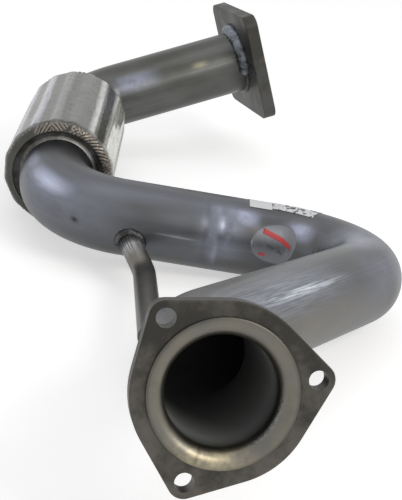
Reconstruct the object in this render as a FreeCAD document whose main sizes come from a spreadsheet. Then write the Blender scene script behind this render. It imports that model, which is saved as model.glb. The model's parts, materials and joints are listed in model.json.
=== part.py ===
import FreeCAD, Part
import math
import os
import re
import Sketcher

# Exhaust front pipe: one bent tube from a flared three-bolt inlet flange through three bends
# into a braided flexible coupling, then a short bent tail to a two-bolt outlet flange, with a
# slim side tube that branches off the far run. Millimetres and degrees, +Z up.

Vector = FreeCAD.Vector
Placement = FreeCAD.Placement
Rotation = FreeCAD.Rotation
X_AXIS = Vector(1, 0, 0)
Y_AXIS = Vector(0, 1, 0)
Z_AXIS = Vector(0, 0, 1)

# Driving dimensions: alias, value, what it is. A value that starts with = follows from others.
SIZES = [
    ("pipe_diameter", 60.0, "outer diameter of the main tube"),
    ("pipe_wall", 1.5, "wall of the main tube"),
    ("bend_radius", 60.0, "centreline radius of the front pipe's bends"),
    ("inlet_run", 89.5, "inlet flange face to the first bend"),
    ("bend_one", 39.8, "turn of the first bend"),
    ("near_run", 206.5, "straight between the first and second bends"),
    ("roll_two", -167.9, "turn of the bending plane before the second bend"),
    ("bend_two", 122.5, "turn of the second bend"),
    ("far_run", 122.7, "straight between the second and third bends"),
    ("roll_three", 171.6, "turn of the bending plane before the third bend"),
    ("bend_three", 90.1, "turn of the third bend"),
    ("flex_lead", 9.3, "straight tube showing before the flexible coupling"),
    ("flex_length", 168.4, "flexible coupling, rim to rim"),
    ("flex_insert", 30.0, "depth that each tube reaches into the coupling"),
    ("tail_lead", 1.0, "straight tube showing behind the coupling"),
    ("roll_four", -22.2, "turn of the bending plane before the fourth bend"),
    ("bend_four", 74.4, "turn of the fourth bend"),
    ("rear_bend_radius", 50.0, "centreline radius of the fourth bend"),
    ("tail_run", 126.7, "straight from the fourth bend to the outlet flange"),
    ("flare_radius", 6.0, "radius that the tube's mouth is flared round"),
    ("flare_land", 1.5, "flat width of the flared lip"),
    ("flange_disc", 92.0, "disc of the inlet flange between its lobes"),
    ("flange_lobe", 17.0, "diameter of the lobe round each bolt hole"),
    ("flange_pcd", 95.0, "bolt circle of the inlet flange"),
    ("flange_hole", 10.0, "bolt hole of the inlet flange"),
    ("flange_thickness", 10.0, "inlet flange plate"),
    ("flange_clock", -5.4, "turn of the inlet flange about the tube"),
    ("outlet_spacing", 94.0, "bolt spacing of the outlet flange"),
    ("outlet_bolt_margin", 14.0, "bolt centres to the ends of the outlet flange"),
    ("outlet_width", "=outlet_spacing + 2 * outlet_bolt_margin", "outlet flange, end to end"),
    ("outlet_height", 102.4, "outlet flange, side to side"),
    ("outlet_thickness", 12.0, "outlet flange plate"),
    ("outlet_corner", 11.0, "corner radius of the outlet flange"),
    ("outlet_hole", 11.0, "bolt hole of the outlet flange"),
    ("outlet_clock", -1.6, "turn of the outlet flange about the tube"),
    ("outlet_set_back", 3.0, "tube end behind the outlet face"),
    ("plate_edge", 0.8, "rounding on the flange plates' edges"),
    ("slip_gap", 0.2, "radial clearance of a tube in a bore or in another tube"),
    ("weld_leg", 5.0, "leg of the flange welds"),
    ("weld_crown", 3.1, "distance of a flange weld's crown from the tube and from the plate"),
    ("rim_roll", 8.0, "radius that the braid's ends are rolled in round"),
    ("braid_wall", 1.6, "braid layer in the pleats' valleys"),
    ("pleat_count", 15.0, "lengthwise pleats round the braid"),
    ("pleat_depth", 1.0, "depth of the valleys between pleats"),
    ("pleat_hollow", 25.0, "radius of each valley"),
    ("cup_wall", 1.5, "wall of the coupling's end cups"),
    ("cup_depth", 8.0, "rim of the coupling to the end cup's neck"),
    ("cup_neck", 20.0, "length of the end cup's neck on the tube"),
    ("cup_weld_leg", 3.2, "reach of the end cup's weld up its dish"),
    ("cup_weld_run", 4.0, "reach of the end cup's weld along the tube"),
    ("bellows_diameter", 84.0, "crests of the bellows"),
    ("bellows_gap", 1.9, "crests of the bellows to the inside of the braid"),
    ("drum_diameter", "=bellows_diameter + 2 * (bellows_gap + braid_wall + pleat_depth)",
     "braid over its pleats"),
    ("bellows_wall", 0.6, "wall of the bellows"),
    ("bellows_cuff", 12.0, "plain end of the bellows on the cup's neck"),
    ("bellows_waves", 9.0, "convolutions of the bellows"),
    ("liner_wall", 0.8, "wall of the inner liner"),
    ("liner_ridge", 1.4, "height of the liner's interlocked ridges"),
    ("liner_lap", 14.0, "length of liner inside each tube"),
    ("liner_ridges", 6.0, "ridges of the liner between the tubes"),
    ("side_diameter", 17.2, "outer diameter of the side tube"),
    ("side_wall", 1.6, "wall of the side tube"),
    ("side_station", 127.5, "where the side tube's line crosses the far run's centreline"),
    ("side_clock", 164.0, "side tube's turn round the far run"),
    ("side_angle", 113.6, "angle between the far run and the side tube"),
    ("side_plane", 128.9, "turn of the bending plane of the side tube"),
    ("side_lead", 58.5, "main tube's centreline to the side tube's bend"),
    ("side_bend_radius", 35.0, "centreline radius of the side tube's bend"),
    ("side_bend", 29.9, "turn of the side tube's bend"),
    ("side_run", 104.0, "straight end of the side tube"),
    ("side_weld", 3.0, "width and height of the side tube's weld"),
    ("lay_turn", 8.5, "turn of the inlet about the vertical as the pipe lies"),
    ("lay_dip", -15.4, "slope of the inlet as the pipe lies"),
    ("lay_roll", -3.4, "roll about the inlet as the pipe lies"),
]

doc = FreeCAD.newDocument("exhaust_front_pipe")
sheet = doc.addObject("Spreadsheet::Sheet", "sizes")
for row, (alias, value, note) in enumerate(SIZES, start=1):
    sheet.set(f"A{row}", alias)
    sheet.set(f"B{row}", str(value))
    sheet.set(f"C{row}", note)
    sheet.setAlias(f"B{row}", alias)
doc.recompute()

# Radii and reaches that follow from the sizes, as formulas with the aliases alone
OUTER = "(pipe_diameter / 2)"
BORE = f"({OUTER} - pipe_wall)"
SEAT = f"({OUTER} + slip_gap)"
LIP = f"({OUTER} + flare_radius + flare_land)"
DRUM = "(drum_diameter / 2)"
VALLEY = f"({DRUM} - pleat_depth)"
RIM_EDGE = f"({VALLEY} - rim_roll)"
NECK = f"({SEAT} + cup_wall)"
SIDE = "(side_diameter / 2)"

parts = []


def size(formula):
    return float(sheet.evalExpression(formula))


def bind(obj, name, formula):
    obj.setExpression(name, re.sub(r"[a-z_]+", lambda word: "sizes." + word[0], formula))


def keep(obj, label):
    """Name a finished sub-part; its label is also the name of its file."""
    obj.Label = label
    parts.append(obj)
    return obj


def step(place, move=Vector(), turn=Rotation()):
    return place.multiply(Placement(move, turn))


def along(place, formula):
    return step(place, Z_AXIS * size(formula))


def roll(place, formula):
    return step(place, turn=Rotation(Z_AXIS, size(formula)))


# A tube's route is a list of legs. Each leg starts at a placement whose +Z is the way the tube
# runs and whose +X points at the centre of its next bend.
def straight(place, formula):
    return ("run", place, formula), along(place, formula)


def bend(place, angle, radius):
    hub = step(place, X_AXIS * size(radius))
    turned = step(hub, turn=Rotation(Y_AXIS, size(angle)))
    return ("bend", hub, angle, radius), step(turned, X_AXIS * -size(radius))


def rod(name, legs, radius):
    """Solid rod along the legs: a cylinder for a run and part of a torus for a bend."""
    solids = []
    for number, (kind, place, extent, *bend_radius) in enumerate(legs, start=1):
        if kind == "run":
            solid = doc.addObject("Part::Cylinder", f"{name}_run_{number}")
            bind(solid, "Radius", radius)
            bind(solid, "Height", extent)
            solid.Placement = place
        else:
            solid = doc.addObject("Part::Torus", f"{name}_bend_{number}")
            bind(solid, "Radius1", bend_radius[0])
            bind(solid, "Radius2", radius)
            bind(solid, "Angle3", extent)
            solid.Angle1 = -180
            solid.Angle2 = 180
            solid.Placement = step(place, turn=Rotation(-X_AXIS, Z_AXIS, Y_AXIS, "ZXY"))
        solids.append(solid)
    return solids[0] if len(solids) == 1 else fuse(name, solids)


def fuse(name, solids):
    whole = doc.addObject("Part::MultiFuse", name)
    whole.Shapes = solids
    whole.Refine = True
    return whole


def cut(name, base, tool):
    result = doc.addObject("Part::Cut", name)
    result.Base = base
    result.Tool = tool
    return result


def common(name, first, second):
    result = doc.addObject("Part::MultiCommon", name)
    result.Shapes = [first, second]
    return result


# A sketch's geometry is drawn at its size, and then its constraints are bound to the sheet
def constrain(sketch, kind, formula, *spots):
    rule = sketch.addConstraint(Sketcher.Constraint(kind, *spots, size(formula)))
    bind(sketch, f"Constraints[{rule}]", formula)


def pin(sketch, piece, end, x, y):
    """Hold one point of the sketch at x and y from its origin."""
    for kind, formula, axis in (("DistanceX", x, -2), ("DistanceY", y, -1)):
        if formula == "0":
            sketch.addConstraint(Sketcher.Constraint("PointOnObject", piece, end, axis))
        else:
            constrain(sketch, kind, formula, -1, 1, piece, end)


def outline(sketch, corners):
    """Closed outline of corners (x, y); some are reached on an arc (x, y, radius, side).

    An arc bulges to the left of the way the outline runs where its side is 1, to the right
    where it is -1.
    """
    spots = [Vector(size(corner[0]), size(corner[1]), 0) for corner in corners]
    pieces = []
    for start, end, corner in zip(spots[-1:] + spots, spots, corners):
        if len(corner) == 2:
            pieces.append((sketch.addGeometry(Part.LineSegment(start, end), False), 1, 2))
            continue
        radius = size(corner[2])
        chord = end - start
        rise = radius - math.sqrt(radius ** 2 - (chord.Length / 2) ** 2)
        left = Vector(-chord.y, chord.x, 0).normalize()
        crest = (start + end) / 2 + left * (rise * corner[3])
        piece = sketch.addGeometry(Part.Arc(start, crest, end), False)
        onward = sketch.getPoint(piece, 1).isEqual(start, 1e-6)
        pieces.append((piece, 1, 2) if onward else (piece, 2, 1))
        constrain(sketch, "Radius", corner[2], piece)
    for number, (piece, _, end) in enumerate(pieces):
        after, start, _ = pieces[(number + 1) % len(pieces)]
        sketch.addConstraint(Sketcher.Constraint("Coincident", piece, end, after, start))
        pin(sketch, piece, end, corners[number][0], corners[number][1])


def band(sketch, circles):
    """Outline round a ring of circles (x, y, radius), each joined to the next by a tangent."""
    spots = [(Vector(size(x), size(y), 0), size(radius)) for x, y, radius in circles]
    leaving = []
    for (centre, radius), (after, after_radius) in zip(spots, spots[1:] + spots[:1]):
        way = after - centre
        leaving.append(math.atan2(way.y, way.x) - math.acos((radius - after_radius) / way.Length))
    arcs = []
    for number, (centre, radius) in enumerate(spots):
        arc = Part.ArcOfCircle(Part.Circle(centre, Z_AXIS, radius),
                               leaving[number - 1], leaving[number])
        piece = sketch.addGeometry(arc, False)
        arcs.append(piece)
        x, y, formula = circles[number]
        pin(sketch, piece, 3, x, y)
        constrain(sketch, "Radius", formula, piece)
    for piece, after in zip(arcs, arcs[1:] + arcs[:1]):
        line = Part.LineSegment(sketch.getPoint(piece, 2), sketch.getPoint(after, 1))
        tangent = sketch.addGeometry(line, False)
        sketch.addConstraint(Sketcher.Constraint("Tangent", piece, 2, tangent, 1))
        sketch.addConstraint(Sketcher.Constraint("Tangent", tangent, 2, after, 1))


def circle(sketch, x, y, radius):
    spot = Part.Circle(Vector(size(x), size(y), 0), Z_AXIS, size(radius))
    piece = sketch.addGeometry(spot, False)
    pin(sketch, piece, 3, x, y)
    constrain(sketch, "Radius", radius, piece)


def sketch_on(body, name, role):
    plane = next(item for item in body.Origin.OriginFeatures if item.Role == role)
    sketch = body.newObject("Sketcher::SketchObject", name)
    sketch.AttachmentSupport = [(plane, "")]
    sketch.MapMode = "FlatFace"
    return sketch


def spin(body, kind, name, corners):
    """Revolution or Groove about the body's Z axis from (radius, station) corners."""
    sketch = sketch_on(body, f"{name}_section", "XZ_Plane")
    outline(sketch, corners)
    feature = body.newObject(f"PartDesign::{kind}", name)
    feature.Profile = sketch
    feature.ReferenceAxis = (sketch, ["V_Axis"])
    feature.Angle = 360
    body.Tip = feature
    return feature


def ring(name, corners, place):
    body = doc.addObject("PartDesign::Body", name)
    spin(body, "Revolution", f"{name}_turn", corners)
    body.Placement = place
    return body


def pocket(body, name, sketch, depth):
    """Cut the sketch out of the body upwards from its XY plane."""
    feature = body.newObject("PartDesign::Pocket", name)
    feature.Profile = sketch
    feature.Reversed = True
    bind(feature, "Length", depth)
    return feature


# Route of the main tube from the inlet face
lay = Placement(Vector(), Rotation(Z_AXIS, size("lay_turn")))
lay = step(lay, turn=Rotation(X_AXIS, size("lay_dip")))
lay = step(lay, turn=Rotation(Y_AXIS, size("lay_roll")))
inlet = step(lay, turn=Rotation(X_AXIS, -Z_AXIS, Y_AXIS, "ZXY"))

first_run, place = straight(inlet, "inlet_run")
first_bend, place = bend(place, "bend_one", "bend_radius")
near_run, place = straight(place, "near_run")
second_bend, place = bend(roll(place, "roll_two"), "bend_two", "bend_radius")
far_start = roll(place, "roll_three")
far_run, place = straight(far_start, "far_run")
third_bend, place = bend(place, "bend_three", "bend_radius")
front_end = ("run", place, "flex_lead + flex_insert")
flex_front = along(place, "flex_lead")
flex_rear = along(flex_front, "flex_length")
tail_stub = ("run", along(flex_rear, "-flex_insert"), "flex_insert + tail_lead")
place = roll(along(flex_rear, "tail_lead"), "roll_four")
fourth_bend, place = bend(place, "bend_four", "rear_bend_radius")
tail_end = ("run", place, "tail_run + outlet_thickness - outlet_set_back")
outlet_back = along(place, "tail_run")

# Route of the side tube from the far run's centreline
side_root = step(roll(along(far_start, "side_station"), "side_clock"),
                 turn=Rotation(Y_AXIS, size("side_angle")))
side_lead, place = straight(roll(side_root, "side_plane"), "side_lead")
side_turn, place = bend(place, "side_bend", "side_bend_radius")
side_end, place = straight(place, "side_run")
side_legs = [side_lead, side_turn, side_end]
wall_near_side = [far_run, third_bend]


def mouth_flare():
    """Tube end rolled outwards a quarter turn, so that its wall lies over the flange's face."""
    crest = f"{OUTER} + flare_radius"
    return ring("mouth_flare", [
        (OUTER, "flare_radius"),
        (crest, "0", "flare_radius", -1),
        (LIP, "0"),
        (LIP, "-pipe_wall"),
        (crest, "-pipe_wall"),
        (BORE, "flare_radius", "flare_radius + pipe_wall", 1),
    ], inlet)


def front_pipe():
    """Flared mouth, three bends, and a hole in the far run for the side tube."""
    legs = [first_run, first_bend, near_run, second_bend, far_run, third_bend, front_end]
    tube = cut("front_tube", rod("front_rod", legs, OUTER), rod("front_core", legs, BORE))
    mouth_end = ("run", inlet, "flare_radius")
    tube = cut("front_trimmed", tube, rod("mouth_plug", [mouth_end], OUTER))
    tube = fuse("front_flared", [tube, mouth_flare()])
    hole = rod("side_hole", [side_lead], SIDE + " + slip_gap")
    keep(cut("front_pipe", tube, hole), "front_pipe")


def rear_pipe():
    legs = [tail_stub, fourth_bend, tail_end]
    tube = cut("rear_pipe", rod("rear_rod", legs, OUTER), rod("rear_core", legs, BORE))
    keep(tube, "rear_pipe")


def plate(name, circles, thickness):
    """Flange plate padded from its outline, from the face that the tube comes to."""
    body = doc.addObject("PartDesign::Body", name)
    sketch = sketch_on(body, f"{name}_outline", "XY_Plane")
    band(sketch, circles)
    pad = body.newObject("PartDesign::Pad", f"{name}_plate")
    pad.Profile = sketch
    bind(pad, "Length", thickness)
    return body


def bolt_holes(body, spots, diameter, depth):
    sketch = sketch_on(body, f"{body.Name}_spots", "XY_Plane")
    for x, y in spots:
        circle(sketch, x, y, f"{diameter} / 2")
    pocket(body, f"{body.Name}_holes", sketch, depth)


def round_rims(body, thickness):
    """Round both edges of the plate's outline, but not those of its bore and holes."""
    doc.recompute()
    shape = body.Tip.Shape
    rims = []
    for height in (0.0, size(thickness)):
        flat = [wire for face in shape.Faces for wire in face.Wires
                if math.isclose(wire.BoundBox.ZMin, height, abs_tol=1e-6)
                and math.isclose(wire.BoundBox.ZMax, height, abs_tol=1e-6)]
        rims += max(flat, key=lambda wire: wire.BoundBox.DiagonalLength).Edges
    names = [f"Edge{number}" for number, edge in enumerate(shape.Edges, start=1)
             if any(edge.isSame(other) for other in rims)]
    base = body.Tip
    fillet = body.newObject("PartDesign::Fillet", f"{body.Name}_edges")
    fillet.Base = (base, names)
    bind(fillet, "Radius", "plate_edge")


def around(reach, count, first=0.0):
    """Points spread evenly on a circle, as formulas of its radius."""
    angles = [math.radians(first + 360.0 * number / count) for number in range(count)]
    return [(f"{reach} * {math.cos(angle):.12f}", f"{reach} * {math.sin(angle):.12f}")
            for angle in angles]


def front_flange():
    """Disc with three bolt lobes; its bore is rounded at the face to back the tube's flare."""
    spots = around("flange_pcd / 2", 3)
    circles = []
    for x, y in spots:
        circles += [(x, y, "flange_lobe / 2"), ("0", "0", "flange_disc / 2")]
    seat = "(flare_radius - slip_gap)"
    body = plate("front_flange", circles, "flange_thickness")
    spin(body, "Groove", "front_flange_bore", [
        ("0", "0"),
        (f"{SEAT} + {seat}", "0"),
        (SEAT, seat, seat, 1),
        (SEAT, "flange_thickness"),
        ("0", "flange_thickness"),
    ])
    bolt_holes(body, spots, "flange_hole", "flange_thickness")
    round_rims(body, "flange_thickness")
    body.Placement = roll(inlet, "flange_clock")
    keep(body, "front_flange")


def rear_flange():
    """Rounded rectangular plate with a bolt hole on each side of its bore."""
    width = "(outlet_width / 2 - outlet_corner)"
    height = "(outlet_height / 2 - outlet_corner)"
    circles = [(f"{right}{width}", f"{up}{height}", "outlet_corner")
               for right, up in (("", ""), ("-", ""), ("-", "-"), ("", "-"))]
    body = plate("rear_flange", circles, "outlet_thickness")
    spin(body, "Groove", "rear_flange_bore", [
        ("0", "0"),
        (SEAT, "0"),
        (SEAT, "outlet_thickness"),
        ("0", "outlet_thickness"),
    ])
    bolt_holes(body, [("outlet_spacing / 2", "0"), ("-outlet_spacing / 2", "0")],
               "outlet_hole", "outlet_thickness")
    round_rims(body, "outlet_thickness")
    body.Placement = roll(outlet_back, "outlet_clock")
    keep(body, "rear_flange")


def flange_weld(label, place, side):
    """Bead in the corner between tube and plate; side is the sign of the way along the tube."""
    keep(ring(label, [
        (OUTER, "0"),
        (f"{OUTER} + weld_leg", "0"),
        (f"{OUTER} + weld_crown", f"{side}weld_crown"),
        (OUTER, f"{side}weld_leg"),
    ], place), label)


def side_tube():
    """Slim branch, its root cut to the main tube's bore."""
    tube = cut("side_pipe", rod("side_rod", side_legs, SIDE),
               rod("side_core", side_legs, SIDE + " - side_wall"))
    keep(cut("side_tube", tube, rod("side_trim", wall_near_side, BORE)), "side_tube")


def side_tube_weld():
    """Bead round the branch, shaped to the main tube's wall."""
    saddle = rod("bead_height", wall_near_side, OUTER + " + side_weld")
    bead = common("bead_blank", rod("bead_width", [side_lead], SIDE + " + side_weld"), saddle)
    bead = cut("bead_seat", bead, rod("bead_floor", wall_near_side, OUTER))
    keep(cut("side_tube_weld", bead, rod("bead_core", [side_lead], SIDE)), "side_tube_weld")


def outer_braid():
    """Drum with its ends rolled in, fluted lengthwise into pleats."""
    body = doc.addObject("PartDesign::Body", "outer_braid")
    outside = "(rim_roll + pleat_depth)"
    inside = "(rim_roll - braid_wall)"
    wall = f"{RIM_EDGE} + {inside}"
    spin(body, "Revolution", "braid_drum", [
        (RIM_EDGE, "0"),
        (DRUM, outside, outside, -1),
        (DRUM, f"flex_length - {outside}"),
        (RIM_EDGE, "flex_length", outside, -1),
        (RIM_EDGE, "flex_length - braid_wall"),
        (wall, "flex_length - rim_roll", inside, 1),
        (wall, "rim_roll"),
        (RIM_EDGE, "braid_wall", inside, 1),
    ])
    sketch = sketch_on(body, "valley_spot", "XY_Plane")
    circle(sketch, f"{VALLEY} + pleat_hollow", "0", "pleat_hollow")
    valley = pocket(body, "pleat_valley", sketch, "flex_length")
    pattern = body.newObject("PartDesign::PolarPattern", "pleats")
    pattern.Originals = [valley]
    pattern.Axis = (sketch, ["N_Axis"])
    pattern.Angle = 360
    bind(pattern, "Occurrences", "pleat_count")
    body.Tip = pattern
    body.Placement = flex_front
    keep(body, "outer_braid")


def end_cup(label, place):
    """Dish nested in the braid's rolled rim, down to a neck on the tube."""
    outside = "(rim_roll - braid_wall)"
    inside = f"({outside} - cup_wall)"
    neck_end = "cup_depth + cup_neck"
    keep(ring(label, [
        (RIM_EDGE, "braid_wall"),
        (f"{RIM_EDGE} + {outside}", "rim_roll", outside, -1),
        (f"{RIM_EDGE} + {inside}", "rim_roll"),
        (RIM_EDGE, "braid_wall + cup_wall", inside, 1),
        (NECK, "cup_depth + cup_wall"),
        (NECK, neck_end),
        (SEAT, neck_end),
        (SEAT, "cup_depth"),
    ], place), label)


def cup_weld(label, place):
    """Bead in the recess, between the tube and the end cup's dish."""
    rise = "(cup_depth - braid_wall)"
    reach = f"({RIM_EDGE} - {SEAT})"
    dish = f"({rise}^2 + {reach}^2)^0.5"
    keep(ring(label, [
        (OUTER, "cup_depth"),
        (SEAT, "cup_depth"),
        (f"{SEAT} + cup_weld_leg * {reach} / {dish}",
         f"cup_depth - cup_weld_leg * {rise} / {dish}"),
        (OUTER, "cup_depth - cup_weld_run"),
    ], place), label)


# Where a hollow ridge of a corrugated sleeve has its foot and its shoulder, as a share of the
# pitch from either end
FOOT = 0.1
SHOULDER = 0.25


def corrugated(name, sleeve, waves):
    """Thin sleeve (radius, wall, start) with hollow ridges (first, crest, count)."""
    radius, wall, start = sleeve
    first, crest, count = waves
    row = f"(flex_length - 2 * ({first}))"
    pitch = f"{row} / {count}"
    outside = f"{radius} + {wall}"
    body = doc.addObject("PartDesign::Body", name)
    spin(body, "Revolution", f"{name}_sleeve", [
        (radius, start),
        (outside, start),
        (outside, f"flex_length - ({start})"),
        (radius, f"flex_length - ({start})"),
    ])
    ridge = spin(body, "Revolution", f"{name}_ridge", [
        (radius, f"{first} + {FOOT} * {pitch}"),
        (outside, f"{first} + {FOOT} * {pitch}"),
        (crest, f"{first} + {SHOULDER} * {pitch}"),
        (crest, f"{first} + {1 - SHOULDER} * {pitch}"),
        (outside, f"{first} + {1 - FOOT} * {pitch}"),
        (radius, f"{first} + {1 - FOOT} * {pitch}"),
    ])
    hollow = spin(body, "Groove", f"{name}_hollow", [
        (f"{radius} - {wall}", f"{first} + {FOOT} * {pitch} + {wall}"),
        (radius, f"{first} + {FOOT} * {pitch} + {wall}"),
        (f"{crest} - {wall}", f"{first} + {SHOULDER} * {pitch} + {wall}"),
        (f"{crest} - {wall}", f"{first} + {1 - SHOULDER} * {pitch} - {wall}"),
        (radius, f"{first} + {1 - FOOT} * {pitch} - {wall}"),
        (f"{radius} - {wall}", f"{first} + {1 - FOOT} * {pitch} - {wall}"),
    ])
    pattern = body.newObject("PartDesign::LinearPattern", f"{name}_row")
    pattern.Originals = [ridge, hollow]
    pattern.Direction = (ridge.Profile[0], ["V_Axis"])
    bind(pattern, "Length", f"{row} - {pitch}")
    bind(pattern, "Occurrences", count)
    body.Tip = pattern
    body.Placement = flex_front
    keep(body, name)


def bellows():
    start = "cup_depth + cup_wall"
    corrugated("bellows", (NECK, "bellows_wall", start),
               (f"{start} + bellows_cuff", "(bellows_diameter / 2)", "bellows_waves"))


def inner_liner():
    radius = f"({BORE} - slip_gap - liner_wall)"
    corrugated("inner_liner", (radius, "liner_wall", "flex_insert - liner_lap"),
               ("flex_insert", f"({BORE} - slip_gap + liner_ridge)", "liner_ridges"))


front_pipe()
front_flange()
flange_weld("front_flange_weld", along(inlet, "flange_thickness"), "")
side_tube()
side_tube_weld()
outer_braid()
bellows()
inner_liner()
flex_back = step(flex_rear, turn=Rotation(X_AXIS, 180))
end_cup("front_cup", flex_front)
end_cup("rear_cup", flex_back)
cup_weld("front_cup_weld", flex_front)
cup_weld("rear_cup_weld", flex_back)
rear_pipe()
rear_flange()
flange_weld("rear_flange_weld", outlet_back, "-")

doc.recompute()
failed = [obj.Name for obj in doc.Objects if {"Invalid", "Error"} & set(obj.State)]
if failed:
    raise RuntimeError(f"failed objects: {failed}")

# The pipe lies on the ground with the bottom centre of its box at the origin
box = Part.makeCompound([part.Shape for part in parts]).optimalBoundingBox(False)
settle = Placement(Vector(-box.Center.x, -box.Center.y, -box.ZMin), Rotation())
for part in parts:
    part.Placement = settle.multiply(part.Placement)
doc.recompute()

os.makedirs("parts", exist_ok=True)
for part in parts:
    shape = part.Shape
    if shape.isNull() or not shape.isValid():
        raise RuntimeError(f"bad shape: {part.Label}")
    print(part.Label, len(shape.Solids), "solid", round(shape.Volume), "mm3")
    shape.exportStep(f"parts/{part.Label}.step")
print("size", round(box.XLength, 2), round(box.YLength, 2), round(box.ZLength, 2))
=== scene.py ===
import json
import math
import random

import bpy
from mathutils import Matrix, Vector, noise


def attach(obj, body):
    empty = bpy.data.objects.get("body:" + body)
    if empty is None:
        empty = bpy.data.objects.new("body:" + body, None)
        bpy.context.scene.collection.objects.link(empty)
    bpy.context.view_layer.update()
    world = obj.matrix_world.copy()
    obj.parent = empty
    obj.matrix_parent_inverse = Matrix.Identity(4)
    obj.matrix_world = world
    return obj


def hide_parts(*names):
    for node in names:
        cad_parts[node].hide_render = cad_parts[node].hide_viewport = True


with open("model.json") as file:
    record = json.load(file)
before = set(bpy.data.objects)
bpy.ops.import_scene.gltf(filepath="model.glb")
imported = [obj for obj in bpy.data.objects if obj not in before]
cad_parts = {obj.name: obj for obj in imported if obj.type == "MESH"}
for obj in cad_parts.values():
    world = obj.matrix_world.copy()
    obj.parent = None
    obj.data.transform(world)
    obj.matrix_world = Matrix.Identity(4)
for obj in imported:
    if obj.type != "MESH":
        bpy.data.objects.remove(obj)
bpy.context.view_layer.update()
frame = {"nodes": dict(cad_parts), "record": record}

# Looks of an exhaust front pipe. Metres and degrees, in the frame of the solids.
# An angle round a tube starts at its section's own +X and turns towards +Y.

# Main tube
PIPE_RADIUS = 0.030
PIPE_BORE = 0.0285
BEND_RADIUS = 0.060
INLET_RUN = 0.0895
BEND_ONE = 39.8
NEAR_RUN = 0.2065
ROLL_TWO = -167.9
BEND_TWO = 122.5
FAR_RUN = 0.1227
ROLL_THREE = 171.6
BEND_THREE = 90.1
FLEX_LEAD = 0.0093
FLEX_LENGTH = 0.1684
FLEX_INSERT = 0.030
TAIL_LEAD = 0.0010
ROLL_FOUR = -22.2
BEND_FOUR = 74.4
REAR_BEND_RADIUS = 0.050
TAIL_RUN = 0.1267
FLARE_RADIUS = 0.006
FLARE_LAND = 0.0015

# Flexible coupling
DRUM_RADIUS = 0.0465
BRAID_WALL = 0.0016
PLEAT_COUNT = 15
PLEAT_DEPTH = 0.001
RIM_ROLL = 0.008
RIM_EDGE = DRUM_RADIUS - PLEAT_DEPTH - RIM_ROLL
ROLL_OUTSIDE = DRUM_RADIUS - RIM_EDGE
ROLL_INSIDE = RIM_ROLL - BRAID_WALL

# Side tube
SIDE_RADIUS = 0.0086
SIDE_WALL = 0.0016
SIDE_STATION = 0.1275
SIDE_CLOCK = 164.0
SIDE_ANGLE = 113.6
SIDE_PLANE = 128.9
SIDE_LEAD = 0.0585
SIDE_BEND_RADIUS = 0.035
SIDE_BEND = 29.9
SIDE_RUN = 0.104
SIDE_EXTRA = 0.026

# Flanges
WELD_LEG = 0.005
FRONT_PLATE = 0.010
REAR_PLATE = 0.012
REAR_SET_BACK = 0.003

# How the pipe lies: turn, slope and roll of its inlet
LAY_TURN = 8.5
LAY_DIP = -15.4
LAY_ROLL = -3.4

SEGMENTS = 120
TURN = 2 * math.pi


# Sums that the makers share

def clipped(value):
    return min(1.0, max(0.0, value))


def nearness(value, centre, reach):
    """1 at the centre, easing to 0 a reach away."""
    gone = abs(value - centre) / reach
    return 0.0 if gone >= 1 else (1 - gone * gone) ** 2


def clock(angle, middle):
    """Degrees round a tube from a middle in degrees to an angle in radians, -180 to 180."""
    return (math.degrees(angle) - middle + 180) % 360 - 180


def banded(bands, station):
    """The strongest of some bands round a tube, each with its middle, reach and strength."""
    return max(nearness(station, middle, reach) * share for middle, reach, share in bands)


def spotted(spots, station, angle):
    """The strongest of some spots on a tube, each with its middle, reach and strength.

    A middle and a reach are in metres along the tube and degrees round it.
    """
    return max(share * (nearness(station, middle[0], reach[0])
                        * nearness(clock(angle, middle[1]), 0, reach[1]))
               for middle, reach, share in spots)


def band_mark(bands):
    return lambda station, angle, radius: banded(bands, station)


def spot_mark(spots):
    return lambda station, angle, radius: spotted(spots, station, angle)


# Route

def moved(place, x=0.0, y=0.0, z=0.0):
    return place @ Matrix.Translation((x, y, z))


def turned(place, degrees, axis):
    return place @ Matrix.Rotation(math.radians(degrees), 4, axis)


def bent(place, angle, radius):
    """End of a bend about a centre at +X, by an angle in radians."""
    hub = moved(place, x=radius) @ Matrix.Rotation(angle, 4, "Y")
    return moved(hub, x=-radius)


class Route:
    """Centreline of runs and bends, with a section frame that doesn't twist along it."""

    def __init__(self, place):
        self.place = place
        self.length = 0.0
        self.twist = 0.0
        self.legs = []

    def _leg(self, length, radius):
        self.legs.append((self.length, length, radius, self.place, self.twist))
        self.length += length

    def run(self, length):
        self._leg(length, 0.0)
        self.place = moved(self.place, z=length)

    def roll(self, degrees):
        self.place = turned(self.place, degrees, "Z")
        self.twist += math.radians(degrees)

    def bend(self, degrees, radius):
        angle = math.radians(degrees)
        self._leg(angle * radius, radius)
        self.place = bent(self.place, angle, radius)

    def leg_at(self, station):
        return [leg for leg in self.legs if leg[0] <= station or leg is self.legs[0]][-1]

    def at(self, station):
        start, _, radius, place, twist = self.leg_at(station)
        gone = station - start
        here = bent(place, gone / radius, radius) if radius else moved(place, z=gone)
        return here @ Matrix.Rotation(-twist, 4, "Z")

    def point(self, station, angle, radius):
        return self.at(station) @ Vector((radius * math.cos(angle), radius * math.sin(angle), 0))


# The inlet's centre comes from the record, and the rest of the route follows from it
mounts = {mount["name"]: mount for mount in frame["record"]["mounts"]}
inlet_centre = Vector(mounts["inlet_bolts"]["pos_m"])
lay = Matrix.Translation(inlet_centre)
for degrees, axis in ((LAY_TURN, "Z"), (LAY_DIP, "X"), (LAY_ROLL, "Y")):
    lay = turned(lay, degrees, axis)
inlet = lay @ Matrix(((1, 0, 0, 0), (0, 0, 1, 0), (0, -1, 0, 0), (0, 0, 0, 1)))

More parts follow.
